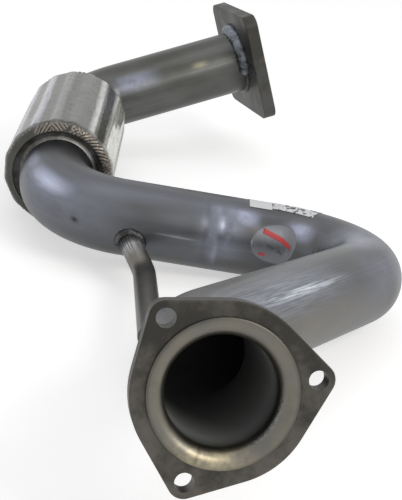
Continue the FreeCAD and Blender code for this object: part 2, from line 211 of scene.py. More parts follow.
front = Route(inlet)
front.run(INLET_RUN)
front.bend(BEND_ONE, BEND_RADIUS)
front.run(NEAR_RUN)
front.roll(ROLL_TWO)
front.bend(BEND_TWO, BEND_RADIUS)
front.roll(ROLL_THREE)
far_start = front.place
FAR_STATION = front.length
front.run(FAR_RUN)
front.bend(BEND_THREE, BEND_RADIUS)
flex_front = moved(front.place, z=FLEX_LEAD)
FLEX_STATION = front.length + FLEX_LEAD
front.run(FLEX_LEAD + FLEX_INSERT)

flex_rear = moved(flex_front, z=FLEX_LENGTH)
rear = Route(moved(flex_rear, z=-FLEX_INSERT))
rear.run(FLEX_INSERT + TAIL_LEAD)
rear.roll(ROLL_FOUR)
rear.bend(BEND_FOUR, REAR_BEND_RADIUS)
outlet_back = moved(rear.place, z=TAIL_RUN)
REAR_PLATE_STATION = rear.length + TAIL_RUN
rear.run(TAIL_RUN + REAR_PLATE - REAR_SET_BACK)

side_root = turned(turned(moved(far_start, z=SIDE_STATION), SIDE_CLOCK, "Z"), SIDE_ANGLE, "Y")
side = Route(turned(side_root, SIDE_PLANE, "Z"))
side.run(SIDE_LEAD)
side.bend(SIDE_BEND, SIDE_BEND_RADIUS)
side.run(SIDE_RUN)

drum = Route(flex_front)
drum.run(FLEX_LENGTH)


# Camera and light

CAMERA_FROM_INLET = (-0.0312, -0.5296, 0.2978)
CAMERA_TURN = -1.466
CAMERA_TILT = 67.137
CAMERA_ROLL = 5.487
CAMERA_LENS = 90
CAMERA_SENSOR = 36

# Name, spot, aim, width, height, watts and colour of each lamp
LAMPS = (
    ("key", (-0.15, 0.15, 1.2), (0.0, 0.0, 0.0), 0.8, 0.5, 1.2, (0.88, 0.90, 1.0)),
    ("fill", (0.9, -0.9, 1.0), (0.0, -0.1, 0.0), 0.7, 0.5, 7, (1.0, 0.96, 0.90)),
)
FLOOR_HALF = 6.0
FLOOR_GREY = 0.80
FLOOR_GLOW = 0.5
WORLD_LIGHT = 0.55
WORLD_SEEN = 1.0


def make_camera():
    data = bpy.data.cameras.new("camera")
    data.lens = CAMERA_LENS
    data.sensor_width = CAMERA_SENSOR
    camera = bpy.data.objects.new("camera", data)
    place = Matrix.Translation(inlet_centre + Vector(CAMERA_FROM_INLET))
    for degrees, axis in ((CAMERA_TURN, "Z"), (CAMERA_TILT, "X"), (CAMERA_ROLL, "Z")):
        place = turned(place, degrees, axis)
    camera.matrix_world = place
    bpy.context.scene.collection.objects.link(camera)
    bpy.context.scene.camera = camera


def softbox(name, spot, aim, width, height, power, colour):
    data = bpy.data.lights.new(name, "AREA")
    data.shape = "RECTANGLE"
    data.size = width
    data.size_y = height
    data.energy = power
    data.color = colour
    lamp = bpy.data.objects.new(name, data)
    lamp.location = spot
    lamp.rotation_euler = (Vector(aim) - Vector(spot)).to_track_quat("-Z", "Y").to_euler()
    bpy.context.scene.collection.objects.link(lamp)


# Materials

class Paint:
    """A material and the calls that add nodes to it."""

    def __init__(self, name):
        self.material = bpy.data.materials.new(name)
        self.material.use_nodes = True
        self.tree = self.material.node_tree
        self.shader = self.tree.nodes["Principled BSDF"]

    def feed(self, socket, value):
        if isinstance(value, bpy.types.NodeSocket):
            self.tree.links.new(value, socket)
        else:
            socket.default_value = value

    def add(self, kind, sockets, **settings):
        node = self.tree.nodes.new("ShaderNode" + kind)
        for name, value in settings.items():
            setattr(node, name, value)
        for name, value in sockets.items():
            self.feed(node.inputs[name], value)
        return node

    def mark(self, name):
        return self.add("Attribute", {}, attribute_name=name).outputs["Fac"]

    def flow(self, across, along):
        """Position on a swept tube, scaled across and along it."""
        vector = self.add("Attribute", {}, attribute_name="flow").outputs["Vector"]
        return self.scale(vector, (across, across, along))

    def solid(self, scale):
        """Position in the part's own frame, scaled."""
        vector = self.add("TexCoord", {}).outputs["Object"]
        return self.scale(vector, (scale, scale, scale))

    def height(self):
        """0 at the piece's lowest point, 1 at its highest."""
        vector = self.add("TexCoord", {}).outputs["Generated"]
        return self.add("SeparateXYZ", {0: vector}).outputs[2]

    def unrolled(self):
        return self.add("UVMap", {}, uv_map="unrolled").outputs["UV"]

    def scale(self, vector, factors):
        return self.add("VectorMath", {0: vector, 1: factors}, operation="MULTIPLY").outputs[0]

    def noise(self, vector, detail=3.0, roughness=0.55):
        sockets = {"Vector": vector, "Scale": 1.0, "Detail": detail, "Roughness": roughness}
        return self.add("TexNoise", sockets).outputs["Fac"]

    def span(self, value, low, high, to_low=0.0, to_high=1.0):
        """Value mapped from low..high to to_low..to_high, smooth at both ends."""
        sockets = {"Value": value, "From Min": low, "From Max": high,
                   "To Min": to_low, "To Max": to_high}
        node = self.add("MapRange", sockets, interpolation_type="SMOOTHSTEP")
        return node.outputs["Result"]

    def math(self, operation, first, second=0.0):
        return self.add("Math", {0: first, 1: second}, operation=operation).outputs[0]

    def mix(self, factor, first, second):
        node = self.add("Mix", {}, data_type="RGBA")
        self.feed(node.inputs[0], factor)
        self.feed(node.inputs[6], first)
        self.feed(node.inputs[7], second)
        return node.outputs[2]

    def bump(self, height, distance, strength=1.0, normal=None):
        node = self.add("Bump", {"Height": height, "Distance": distance, "Strength": strength})
        if normal is not None:
            self.feed(node.inputs["Normal"], normal)
        return node.outputs["Normal"]

    def finish(self, colour, roughness, normal, metallic=1.0):
        settings = {"Base Color": colour, "Roughness": roughness, "Normal": normal,
                    "Metallic": metallic}
        for socket, value in settings.items():
            self.feed(self.shader.inputs[socket], value)
        return self.material


def rgb(red, green, blue):
    return (red, green, blue, 1.0)


# Colours that heat, wear and dirt leave on the steel, and colours of painted highlights, glints and
# shade
STREAK = rgb(0.25, 0.26, 0.30)
# Painted highlight: a lilac colour standing in for lamp highlights on the tubes
PAINTED_HIGHLIGHT = rgb(0.42, 0.45, 0.58)
# Warm tan: the colour of the lip and of the side tube's root, also used as painted shade on the
# near run's lower side
DULL_AND_PAINTED_SHADE = rgb(0.165, 0.155, 0.130)
HEAT_BROWN = rgb(0.17, 0.125, 0.085)
HEAT_BLUE = rgb(0.10, 0.11, 0.18)
# Painted glint: a straw-coloured highlight painted on the tubes
PAINTED_GLINT = rgb(0.52, 0.45, 0.30)
# Pale scuff colour, also used for painted highlights
SCUFF_AND_PAINTED_HIGHLIGHT = rgb(0.70, 0.74, 0.80)
SOOT = rgb(0.18, 0.185, 0.18)
# Near black for dark spots, also used as painted shade
BLOT_AND_PAINTED_SHADE = rgb(0.02, 0.02, 0.02)
STAIN = rgb(0.15, 0.105, 0.075)
SPECK = rgb(0.25, 0.25, 0.24)
CRACK = rgb(0.20, 0.12, 0.06)
# Weld colours: painted lit (silvery blue) and painted shade (near black)
WELD_PAINTED_LIT = (rgb(0.11, 0.115, 0.13), rgb(0.27, 0.31, 0.36))
WELD_PAINTED_SHADE = (rgb(0.035, 0.034, 0.032), rgb(0.085, 0.082, 0.077))
WELD_GRAIN = rgb(0.24, 0.19, 0.12)

# Colours of the coupling's sheath, of its painted crest highlights and rim shade, and of the
# strands at its rims
BRAID = (rgb(0.075, 0.076, 0.066), rgb(0.135, 0.135, 0.125))
BRAID_WIRE = rgb(0.27, 0.27, 0.26)
BRAID_HEAT = rgb(0.24, 0.17, 0.11)
# Painted reflections on the crests: bluish on the sleeve's left, pale yellow on its right
PAINTED_CREST_LEFT = rgb(0.60, 0.60, 0.74)
PAINTED_CREST_RIGHT = rgb(0.90, 0.91, 0.80)
# Painted shade on the coupling's rims
RIM_SHADE_COLOUR = rgb(0.055, 0.055, 0.050)
STRAND_DARK = rgb(0.14, 0.13, 0.115)
STRAND_GREY = rgb(0.20, 0.18, 0.16)
STRAND_BROWN = rgb(0.22, 0.19, 0.16)
STRAND_PINK = rgb(0.28, 0.255, 0.24)

# Colours of the labels
PAPER = rgb(0.72, 0.73, 0.75)
PAPER_INK = rgb(0.05, 0.05, 0.06)
PAPER_FIBRE = rgb(0.6, 0.6, 0.58)
CLEAR_FILM = rgb(0.17, 0.175, 0.19)
RED_INK = rgb(0.46, 0.045, 0.05)
GREY_INK = rgb(0.09, 0.095, 0.105)


def tube_steel(name, dark, light, warm):
    """Drawn tube: cloudy oxide, faint lengthwise marks, heat tints, scuffs and soot, with painted
    highlights, glints and shade.
    """
    paint = Paint(name)
    clouds = paint.noise(paint.flow(22, 9), 4.0, 0.55)
    streaks = paint.noise(paint.flow(300, 7), 3.0, 0.55)
    grain = paint.noise(paint.flow(1500, 900), 2.0, 0.6)
    blotch = paint.noise(paint.flow(60, 40), 5.0, 0.65)
    colour = paint.mix(paint.span(clouds, 0.34, 0.66), dark, light)
    colour = paint.mix(paint.span(streaks, 0.5, 0.85, 0.0, 0.25), colour, STREAK)
    colour = paint.mix(paint.span(blotch, 0.54, 0.78, 0.0, 0.45), colour, warm)
    # Painted highlight: lighter lilac patches, slightly smoother
    painted_highlight = paint.math("MULTIPLY", paint.mark("painted_highlight"), paint.span(blotch, 0.3, 0.6, 0.45, 1.0))
    colour = paint.mix(painted_highlight, colour, PAINTED_HIGHLIGHT)
    # Tan, and painted shade on the near run's lower side
    dull_and_painted_shade = paint.math("MULTIPLY", paint.mark("dull_and_painted_shade"), paint.span(blotch, 0.3, 0.6, 0.6, 1.0))
    colour = paint.mix(dull_and_painted_shade, colour, DULL_AND_PAINTED_SHADE)
    ragged = paint.math("SUBTRACT", paint.math("ADD", paint.mark("heat"), blotch), 0.5)
    colour = paint.mix(paint.span(ragged, 0.15, 0.55, 0.0, 0.7), colour, HEAT_BROWN)
    colour = paint.mix(paint.span(ragged, 0.55, 0.9, 0.0, 0.8), colour, HEAT_BLUE)
    # Painted glint in straw colour
    painted_glint = paint.math("MULTIPLY", paint.mark("painted_glint"), paint.span(blotch, 0.36, 0.6, 0.25, 1.0))
    colour = paint.mix(painted_glint, colour, PAINTED_GLINT)
    # Scuffs, and painted highlights where the listed spots stand for highlights
    scratches = paint.noise(paint.flow(900, 26), 4.0, 0.7)
    scuff_and_painted_highlight = paint.math("MULTIPLY", paint.mark("scuff_and_painted_highlight"), paint.span(scratches, 0.38, 0.6))
    colour = paint.mix(scuff_and_painted_highlight, colour, SCUFF_AND_PAINTED_HIGHLIGHT)
    soot = paint.math("MULTIPLY", paint.mark("soot"), paint.span(blotch, 0.1, 0.6, 0.85, 1.0))
    colour = paint.mix(soot, colour, SOOT)
    # Dark spots, and painted shade at the lip's edge, in the clamp groove and on the side tube's
    # far part
    colour = paint.mix(paint.mark("blot_and_painted_shade"), colour, BLOT_AND_PAINTED_SHADE)
    rough = paint.span(clouds, 0.3, 0.7, 0.34, 0.43)
    rough = paint.math("SUBTRACT", rough, paint.math("MULTIPLY", painted_highlight, 0.06))
    rough = paint.math("ADD", rough, paint.math("MULTIPLY", soot, 0.3))
    metallic = paint.math("SUBTRACT", 1.0, soot)
    normal = paint.bump(streaks, 0.0003, 0.16)
    normal = paint.bump(grain, 0.0001, 0.35, normal)
    normal = paint.bump(scuff_and_painted_highlight, 0.0005, 0.5, normal)
    return paint.finish(colour, rough, normal, metallic)


def plate_steel(name, dark, light):
    """Flange plate: dark oxide, brighter here and there, lighter towards the bottom and darker
    towards the top, with tan stains.
    """
    paint = Paint(name)
    clouds = paint.noise(paint.solid(45), 5.0, 0.65)
    specks = paint.noise(paint.solid(900), 3.0, 0.6)
    # Darker towards the top and lighter towards the bottom
    brightness = paint.math("SUBTRACT", clouds, paint.span(paint.height(), 0.2, 0.9, -0.10, 0.12))
    colour = paint.mix(paint.span(brightness, 0.35, 0.7), dark, light)
    stain = paint.noise(paint.solid(70), 2.0, 0.5)
    colour = paint.mix(paint.span(stain, 0.60, 0.78, 0.0, 0.45), colour, STAIN)
    colour = paint.mix(paint.span(specks, 0.64, 0.8, 0.0, 0.25), colour, SPECK)
    rough = paint.span(clouds, 0.3, 0.7, 0.42, 0.58)
    normal = paint.bump(clouds, 0.0006, 0.4)
    normal = paint.bump(specks, 0.0002, 0.6, normal)
    return paint.finish(colour, rough, normal)


def weld_metal(name):
    """Weld bead: silvery blue where it is painted lit, dark grey where it is painted in shade, with
    brown grain.
    """
    paint = Paint(name)
    patches = paint.noise(paint.solid(160), 3.0, 0.6)
    grain = paint.noise(paint.solid(1200), 3.0, 0.6)
    # Painted light: lit where the mark is high, painted shade where it is low
    painted_light = paint.mix(paint.span(patches, 0.36, 0.66), *WELD_PAINTED_LIT)
    shaded = paint.mix(paint.span(patches, 0.36, 0.66), *WELD_PAINTED_SHADE)
    colour = paint.mix(paint.mark("painted_light"), shaded, painted_light)
    colour = paint.mix(paint.span(grain, 0.62, 0.85, 0.0, 0.15), colour, WELD_GRAIN)
    rough = paint.span(patches, 0.3, 0.7, 0.34, 0.48)
    return paint.finish(colour, rough, paint.bump(grain, 0.0003, 0.5))


def formed_steel(name, dark, light):
    """Pressed cups, bellows and liner."""
    paint = Paint(name)
    clouds = paint.noise(paint.solid(90), 5.0, 0.65)
    cracks = paint.noise(paint.solid(420), 4.0, 0.7)
    colour = paint.mix(paint.span(clouds, 0.35, 0.65), dark, light)
    colour = paint.mix(paint.span(cracks, 0.58, 0.68, 0.0, 0.6), colour, CRACK)
    rough = paint.span(clouds, 0.3, 0.7, 0.36, 0.5)
    return paint.finish(colour, rough, paint.bump(cracks, 0.0005, 0.5))


# The weave's turns, in radians a metre
WEAVE = 3600


def braid_sheet(name):
    """Braided wire pulled tight: painted highlights on the crests, darker hollows, painted shade at
    the rims, a fine diagonal weave.
    """
    paint = Paint(name)
    split = paint.add("SeparateXYZ", {0: paint.unrolled()})
    across, along = split.outputs[0], split.outputs[1]
    waves = []
    for operation in ("ADD", "SUBTRACT"):
        run = paint.math(operation, across, along)
        waves.append(paint.math("SINE", paint.math("MULTIPLY", run, WEAVE)))
    weave = paint.math("MULTIPLY", *waves)
    clouds = paint.noise(paint.flow(60, 22), 4.0, 0.6)
    wires = paint.noise(paint.flow(700, 40), 3.0, 0.6)
    colour = paint.mix(paint.span(clouds, 0.35, 0.65), *BRAID)
    colour = paint.mix(paint.span(wires, 0.5, 0.8, 0.0, 0.25), colour, BRAID_WIRE)
    edge = paint.math("MULTIPLY", paint.math("SUBTRACT", wires, 0.5), 0.5)
    # Painted highlights on the crests and the right flank, broken up a little
    crest = paint.math("ADD", paint.mark("crest"), edge)
    patchiness = paint.noise(paint.flow(240, 30), 3.0, 0.6)
    painted_shine = paint.math("MULTIPLY", paint.span(crest, 0.50, 1.08), paint.mark("painted_shine"))
    painted_shine = paint.math("MULTIPLY", painted_shine, paint.span(patchiness, 0.3, 0.55, 0.6, 1.0))
    bright = paint.mix(paint.mark("side"), PAINTED_CREST_LEFT, PAINTED_CREST_RIGHT)
    colour = paint.mix(painted_shine, colour, bright)
    # Painted shade on the rims
    colour = paint.mix(paint.mark("shade"), colour, RIM_SHADE_COLOUR)
    heat = paint.math("MULTIPLY", paint.mark("heat"), paint.span(clouds, 0.3, 0.6, 0.2, 0.8))
    colour = paint.mix(heat, colour, BRAID_HEAT)
    rough = paint.math("SUBTRACT", paint.span(clouds, 0.3, 0.7, 0.24, 0.32),
                       paint.math("MULTIPLY", painted_shine, 0.1))
    normal = paint.bump(weave, 0.00010, 0.06)
    normal = paint.bump(wires, 0.0003, 0.15, normal)
    metallic = paint.math("SUBTRACT", 0.80, paint.math("MULTIPLY", painted_shine, 0.45))
    return paint.finish(colour, rough, normal, metallic)


def strand_metal(name):
    """Wire strands at a rim: grey steel with brown and pinkish heat tints in places."""
    paint = Paint(name)
    drift = paint.noise(paint.solid(32), 2.0, 0.5)
    tone = paint.math("ADD", paint.math("MULTIPLY", paint.mark("tone"), 0.4),
                      paint.math("MULTIPLY", drift, 0.8))
    colour = paint.mix(paint.span(tone, 0.30, 0.55), STRAND_DARK, STRAND_GREY)
    colour = paint.mix(paint.span(tone, 0.58, 0.70), colour, STRAND_BROWN)
    colour = paint.mix(paint.span(tone, 0.72, 0.84), colour, STRAND_PINK)
    wires = paint.noise(paint.solid(1800), 2.0, 0.5)
    rough = paint.span(wires, 0.3, 0.7, 0.28, 0.42)
    return paint.finish(colour, rough, paint.bump(wires, 0.0002, 0.5))


def paper(name, clean):
    """Torn white label; clean is how much of it is free of dark smudges."""
    paint = Paint(name)
    fibres = paint.noise(paint.flow(900, 900), 3.0, 0.6)
    smudge = paint.noise(paint.flow(190, 260), 3.0, 0.6)
    colour = paint.mix(paint.span(smudge, clean - 0.03, clean + 0.03), PAPER, PAPER_INK)
    colour = paint.mix(paint.span(fibres, 0.5, 0.8, 0.0, 0.2), colour, PAPER_FIBRE)
    return paint.finish(colour, 0.6, paint.bump(fibres, 0.0001, 0.4), 0.0)


def foil(name, ink, metallic):
    """Thin printed film over the steel."""
    paint = Paint(name)
    blots = paint.noise(paint.flow(420, 320), 3.0, 0.6)
    faded = tuple(0.8 * part + 0.07 for part in ink[:3])
    colour = paint.mix(paint.span(blots, 0.5, 0.75, 0.0, 0.5), ink, rgb(*faded))
    return paint.finish(colour, paint.span(blots, 0.3, 0.7, 0.36, 0.42),
                        paint.bump(blots, 0.00005, 0.2), metallic)


# Meshes

def mesh_object(name, points, faces, material, marks, unrolled=None):
    """Smooth mesh; marks are values per point and unrolled is a place per face corner."""
    mesh = bpy.data.meshes.new(name)
    mesh.from_pydata(points, [], faces)
    for mark, values in marks.items():
        kind = "FLOAT_VECTOR" if mark == "flow" else "FLOAT"
        data = mesh.attributes.new(mark, kind, "POINT").data
        flat = [part for value in values for part in value] if mark == "flow" else values
        data.foreach_set("vector" if mark == "flow" else "value", flat)
    if unrolled:
        layer = mesh.uv_layers.new(name="unrolled")
        layer.data.foreach_set("uv", [part for corner in unrolled for part in corner])
    mesh.polygons.foreach_set("use_smooth", [True] * len(mesh.polygons))
    mesh.materials.append(material)
    mesh.update()
    piece = bpy.data.objects.new(name, mesh)
    bpy.context.scene.collection.objects.link(piece)
    return piece


def loop_faces(rings, sides, inward=False):
    """Quads between each ring of points and the next, and from the last to the first."""
    faces = []
    for ring in range(rings):
        after = (ring + 1) % rings
        for number in range(sides):
            beside = (number + 1) % sides
            quad = (ring * sides + number, ring * sides + beside,
                    after * sides + beside, after * sides + number)
            faces.append(quad[:1] + quad[:0:-1] if inward else quad)
    return faces


def swept(name, route, rings, material, marks, shape, segments=SEGMENTS):
    """Closed tube wall: rings of (station, radius) run out along the outside and back inside.

    shape gives what is added to the radius at (station, angle, radius), and marks give the
    values that the material reads, from the same three.
    """
    points = []
    values = {mark: [] for mark in marks}
    values["flow"] = []
    for station, radius in rings:
        section = route.at(station)
        for number in range(segments):
            angle = TURN * number / segments
            reach = radius + shape(station, angle, radius)
            points.append(section @ Vector((reach * math.cos(angle), reach * math.sin(angle), 0)))
            values["flow"].append((radius * math.cos(angle), radius * math.sin(angle), station))
            for mark, function in marks.items():
                values[mark].append(function(station, angle, radius))
    corners = []
    for ring in range(len(rings)):
        after = (ring + 1) % len(rings)
        for number in range(segments):
            for corner_ring, corner in ((ring, number), (ring, number + 1),
                                        (after, number + 1), (after, number)):
                corners.append((TURN * corner / segments * DRUM_RADIUS, rings[corner_ring][0]))
    faces = loop_faces(len(rings), segments)
    return mesh_object(name, points, faces, material, values, corners)


def spaced(start, end, pitch):
    """Stations from start to end, at most a pitch apart."""
    count = max(1, math.ceil(abs(end - start) / pitch))
    return [start + (end - start) * number / count for number in range(count + 1)]


def arc(centre, radius, first, last, count):
    """(station, radius) rings round a centre (station, radius), angles in degrees."""
    rings = []
    for number in range(count + 1):
        angle = math.radians(first + (last - first) * number / count)
        rings.append((centre[0] + radius * math.sin(angle), centre[1] + radius * math.cos(angle)))
    return rings


def hand_in(piece, slot, *nodes):
    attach(piece, "root")
    if nodes:
        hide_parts(*nodes)
    return piece


# Main tube, with its wear and its painted highlights, glints and shade

STEP_OUTSIDE = 0.003
STEP_INSIDE = 0.008
EDGE = 0.0004
WRINKLE_DEPTH = 0.00022
WRINKLE_PITCH = 0.0085
FLATTENING = 0.0006

# Shallow rings that the bending clamp leaves on the far run, and the tube's swell before them,
# on one side of the tube: its middle and reach in degrees
CLAMP_RINGS = (0.5095, 0.5225)
CLAMP_REACH = 0.0030
CLAMP_DEPTH = 0.0011
CLAMP_SWELL = 0.0006
SWELL_STARTS = 0.02
SWELL_ENDS = 0.003
CLAMP_SIDE = (203, 62)
# Painted highlight on the ridge between the clamp rings, and painted shade in the second ring's
# groove: middle, reach and strength along the tube
CLAMP_RIDGE_HIGHLIGHT = ((sum(CLAMP_RINGS) / 2, 0.0035, 0.5),)
CLAMP_GROOVE_SHADE = ((CLAMP_RINGS[1] + 0.0005, 0.002, 0.45),)

# Bands and spots of wear, painted highlights, painted glints and painted shade on the front tube
FRONT_HEAT = ((0.0, 0.014, 0.6), (FRONT_PLATE + WELD_LEG, 0.022, 1.0),
              (FAR_STATION + SIDE_STATION, 0.02, 0.5), (FLEX_STATION, 0.014, 0.6))
# Painted straw-coloured glint at the lip
FRONT_GLINTS = (((0.0, 104), (0.008, 48), 0.8),)
# Scuffs and painted highlights: the near run's streak and lighter top and the spot on bend three
# are painted highlights
FRONT_SCUFFS_AND_HIGHLIGHTS = (((0.205, 322), (0.082, 9), 1.0), ((0.545, 189), (0.022, 3), 0.35),
                ((0.17, 318), (0.12, 45), 0.22), ((0.636, 220), (0.013, 9), 0.45),
                ((0.003, 28), (0.0028, 48), 0.5))
# Painted highlights on the bends, the far run and the near run's top
FRONT_HIGHLIGHTS = (((0.641, 221), (0.030, 24), 1.0), ((0.668, 226), (0.022, 18), 0.6),
               ((0.635, 205), (0.060, 60), 0.22),
               ((0.495, 236), (0.014, 20), 0.9), ((0.443, 227), (0.026, 20), 0.7),
               ((0.512, 212), (0.024, 60), 0.4), ((0.36, 262), (0.06, 70), 0.4),
               ((0.335, 330), (0.05, 50), 0.2), ((0.18, 318), (0.11, 45), 0.25))
# Painted shade on the near run's lower side
FRONT_LOWER_SIDE_SHADE = (((0.21, 12), (0.13, 50), 0.9),)
FRONT_BLOTS = (((0.614, 184), (0.0035, 6), 1.0), ((0.0, 113), (0.006, 2.5), 0.7))
LIP_DULL = 0.012
LIP_FADE = 0.006
LIP_EDGE = 0.001
# Painted shade along the lip's outer edge
LIP_EDGE_SHADE = 0.4
SOOT_FADE = 0.012

# The same for the rear tube
REAR_HEAT = ((REAR_PLATE_STATION - WELD_LEG, 0.06, 0.8), (FLEX_INSERT, 0.02, 0.6))
# Painted straw-coloured glint on the rear tube
REAR_GLINTS = (((0.178, 311), (0.011, 9), 0.35),)
# Painted highlight on the rear tube
REAR_HIGHLIGHTS = (((0.109, 310), (0.034, 24), 0.5),)
REAR_CLEAN = 0.02


def clamp_grip(angle):
    """The clamp grips the tube on one side only, and eases off round it."""
    return clipped(2 * nearness(clock(angle, CLAMP_SIDE[0]), 0, CLAMP_SIDE[1]))


def clamp_marks(station, angle):
    """What the clamp adds to the front tube's radius."""
    grip = clamp_grip(angle)
    depth = sum(nearness(station, ring, CLAMP_REACH) for ring in CLAMP_RINGS) * CLAMP_DEPTH
    swell = 0.0
    if FAR_STATION < station < CLAMP_RINGS[1]:
        swell = CLAMP_SWELL * clipped((station - FAR_STATION) / SWELL_STARTS)
        swell *= clipped((CLAMP_RINGS[1] - station) / SWELL_ENDS)
    return grip * (swell - depth)


def front_shape(bends):
    """The bends' shape with the clamp marks, on the tube's outside."""
    def shape(station, angle, radius):
        clamp = clamp_marks(station, angle) if radius > PIPE_BORE + EDGE else 0.0
        return bends(station, angle, radius) + clamp
    return shape


def bend_shape(route):
    """Bends flatten a little, and their inner side shows shallow press wrinkles."""
    def shape(station, angle, radius):
        start, length, bend_radius, _, twist = route.leg_at(station)
        if not bend_radius:
            return 0.0
        ease = math.sin(math.pi * clipped((station - start) / length))
        inner = math.cos(angle - twist)
        wave = math.sin(TURN * station / WRINKLE_PITCH)
        crease = WRINKLE_DEPTH * wave * max(0.0, inner) ** 2
        return ease * (crease - FLATTENING * inner * inner)
    return shape


def tube_rings(outside, inside, end):
    """Rings out along the outside, round the far end's edge and back along the bore."""
    rings = [(station, PIPE_RADIUS) for station in outside]
    rings += [(end, PIPE_RADIUS - EDGE), (end, PIPE_BORE + EDGE)]
    return rings + [(station, PIPE_BORE) for station in inside]


def front_marks():
    """Wear, painted highlights, glints and shade on the front tube, by station, angle and radius.
    """
    # Scuffs and painted highlights, on the outside only
    def scuff_and_painted_highlight(station, angle, radius):
        return spotted(FRONT_SCUFFS_AND_HIGHLIGHTS, station, angle) if radius >= PIPE_BORE + EDGE else 0.0

    # Painted highlight on the clamp ridge and at the listed spots
    def painted_highlight(station, angle, radius):
        brightness = clamp_grip(angle) * banded(CLAMP_RIDGE_HIGHLIGHT, station)
        return max(brightness, spotted(FRONT_HIGHLIGHTS, station, angle))

    # Tan at the lip, and painted shade on the near run's lower side
    def dull_and_painted_shade(station, angle, radius):
        at_lip = clipped((LIP_DULL - station) / LIP_FADE)
        return max(at_lip, spotted(FRONT_LOWER_SIDE_SHADE, station, angle))

    # Dark spots, and painted shade at the lip's outer edge and in the clamp groove
    def blot_and_painted_shade(station, angle, radius):
        on_edge = station < LIP_EDGE and radius > PIPE_RADIUS + FLARE_RADIUS + EDGE
        groove_shade = clamp_grip(angle) * banded(CLAMP_GROOVE_SHADE, station)
        return max(spotted(FRONT_BLOTS, station, angle), LIP_EDGE_SHADE if on_edge else 0.0,
                   groove_shade if radius > PIPE_BORE + EDGE else 0.0)

    def soot(station, angle, radius):
        if radius > PIPE_BORE + EDGE or station < FLARE_RADIUS:
            return 0.0
        return clipped((station - FLARE_RADIUS) / SOOT_FADE)

    return {"heat": band_mark(FRONT_HEAT), "painted_glint": spot_mark(FRONT_GLINTS), "scuff_and_painted_highlight": scuff_and_painted_highlight,
            "painted_highlight": painted_highlight, "dull_and_painted_shade": dull_and_painted_shade, "blot_and_painted_shade": blot_and_painted_shade, "soot": soot}


def make_front_pipe(material):
    lip = PIPE_RADIUS + FLARE_RADIUS
    wall = PIPE_RADIUS - PIPE_BORE
    edge = lip + FLARE_LAND
    rings = arc((-wall / 2, edge), wall / 2, -75, 75, 4)
    rings += arc((FLARE_RADIUS, lip), FLARE_RADIUS, 270, 180, 8)
    outside = spaced(FLARE_RADIUS, front.length - EDGE, STEP_OUTSIDE)[1:]
    inside = spaced(front.length - EDGE, FLARE_RADIUS, STEP_INSIDE)
    rings += tube_rings(outside, inside, front.length)
    rings += arc((FLARE_RADIUS, lip), FLARE_RADIUS + wall, 180, 270, 10)[1:]
    shape = front_shape(bend_shape(front))
    piece = swept("front_tube", front, rings, material, front_marks(), shape)
    return hand_in(piece, "pipe", "front_pipe")


def make_rear_pipe(material):
    def soot(station, angle, radius):
        """Dark inside, but for a clean stretch at the open end."""
        return 1.0 if radius < PIPE_BORE + EDGE and station < rear.length - REAR_CLEAN else 0.0

    outside = spaced(EDGE, rear.length - EDGE, STEP_OUTSIDE)
    inside = spaced(rear.length - EDGE, EDGE, STEP_INSIDE)
    rings = [(0.0, PIPE_BORE + EDGE), (0.0, PIPE_RADIUS - EDGE)]
    rings += tube_rings(outside, inside, rear.length)
    marks = {"heat": band_mark(REAR_HEAT), "painted_glint": spot_mark(REAR_GLINTS),
             "painted_highlight": spot_mark(REAR_HIGHLIGHTS), "soot": soot}
    piece = swept("rear_tube", rear, rings, material, marks, bend_shape(rear))
    return hand_in(piece, "pipe", "rear_pipe")


# Side tube, with its wear from the root outwards and painted shade on its far part

SIDE_SEGMENTS = 64
SIDE_SUNK = 0.016
SIDE_HEAT = ((PIPE_RADIUS, 0.006, 1.0),)
SIDE_SCUFF = ((PIPE_RADIUS + 0.010, 0.016, 0.7),)
SIDE_DULL = ((PIPE_RADIUS + 0.014, 0.028, 0.5),)
# Painted shade on the side tube's far part: its strength, the station where it starts, and how far
# it fades in
SIDE_FAR_SHADE = 0.45
SIDE_SHADE_FROM = 0.066
SIDE_SHADE_OVER = 0.02


def to_wall(point):
    """Distance of a point from the centreline of the far run and the bend after it."""
    local = far_start.inverted() @ point
    if local.z <= FAR_RUN:
        return math.hypot(local.x, local.y)
    ring = math.hypot(local.x - BEND_RADIUS, local.z - FAR_RUN)
    return math.hypot(ring - BEND_RADIUS, local.y)


def wall_station(angle, radius, reach):
    """Station of the side tube at which its surface comes out of the main tube's surface."""
    inside, outside = 0.0, SIDE_LEAD
    for _ in range(40):
        middle = (inside + outside) / 2
        if to_wall(side.point(middle, angle, radius)) < reach:
            inside = middle
        else:
            outside = middle
    return inside


